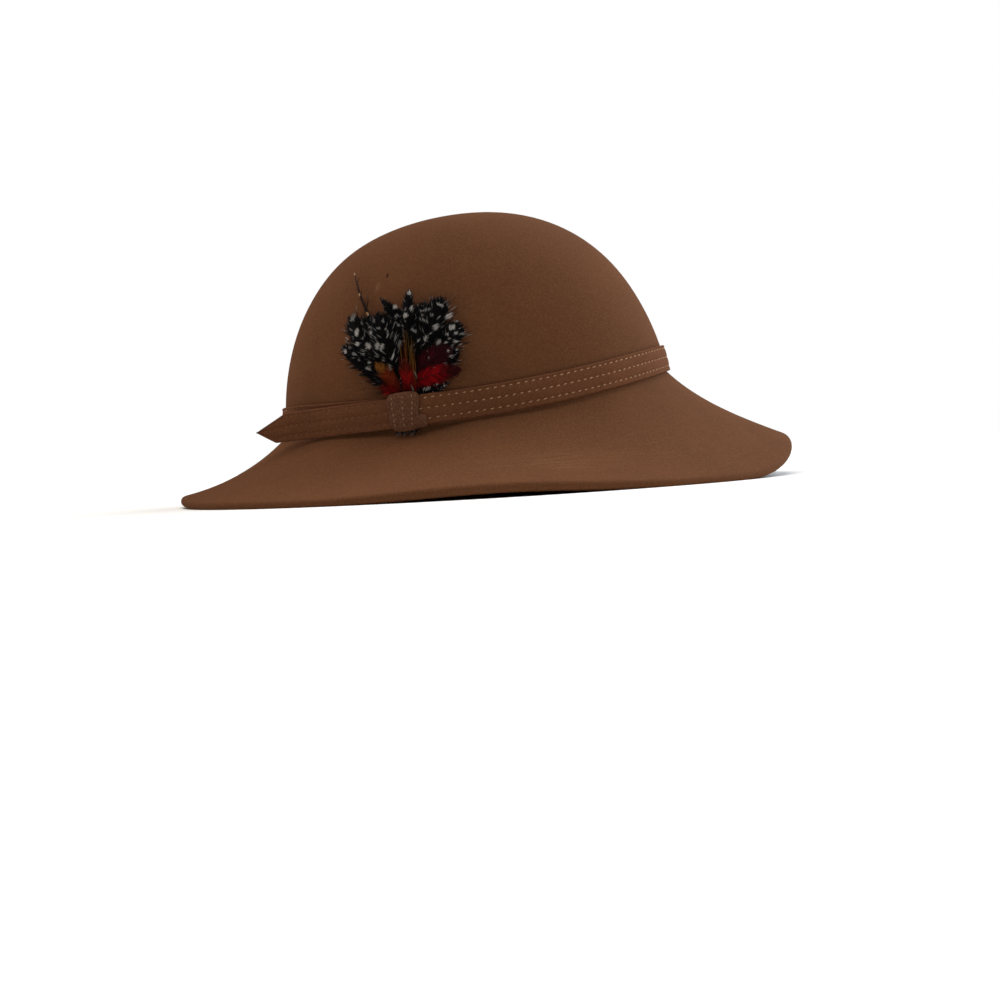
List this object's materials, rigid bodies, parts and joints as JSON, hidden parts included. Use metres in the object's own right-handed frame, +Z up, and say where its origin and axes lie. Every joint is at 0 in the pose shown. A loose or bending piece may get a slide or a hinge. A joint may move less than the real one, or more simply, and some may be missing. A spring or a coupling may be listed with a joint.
{
  "type": "felt cloche hat",
  "caption": "Brown wool felt cloche hat with a round crown, a bell-shaped brim, a stitched felt strap held by a loop, and a plume of spotted and red feathers.",
  "frame": {"origin": "on the table under the middle of the brim", "axes": "+Z up, the front of the hat towards -Y, the wearer's right towards -X"},
  "size_m": [0.272, 0.314, 0.1418],
  "materials": {
    "body_felt": "matt wool felt",
    "strap_felt": "matt wool felt with rows of stitching",
    "keeper_felt": "matt wool felt",
    "feather": "black feathers with white spots, and red and orange ones"
  },
  "bodies": {
    "root": {"felt_body": "body_felt", "strap_band": "strap_felt", "strap_keeper": "keeper_felt", "feather_plume": "feather"}
  },
  "joints": []
}
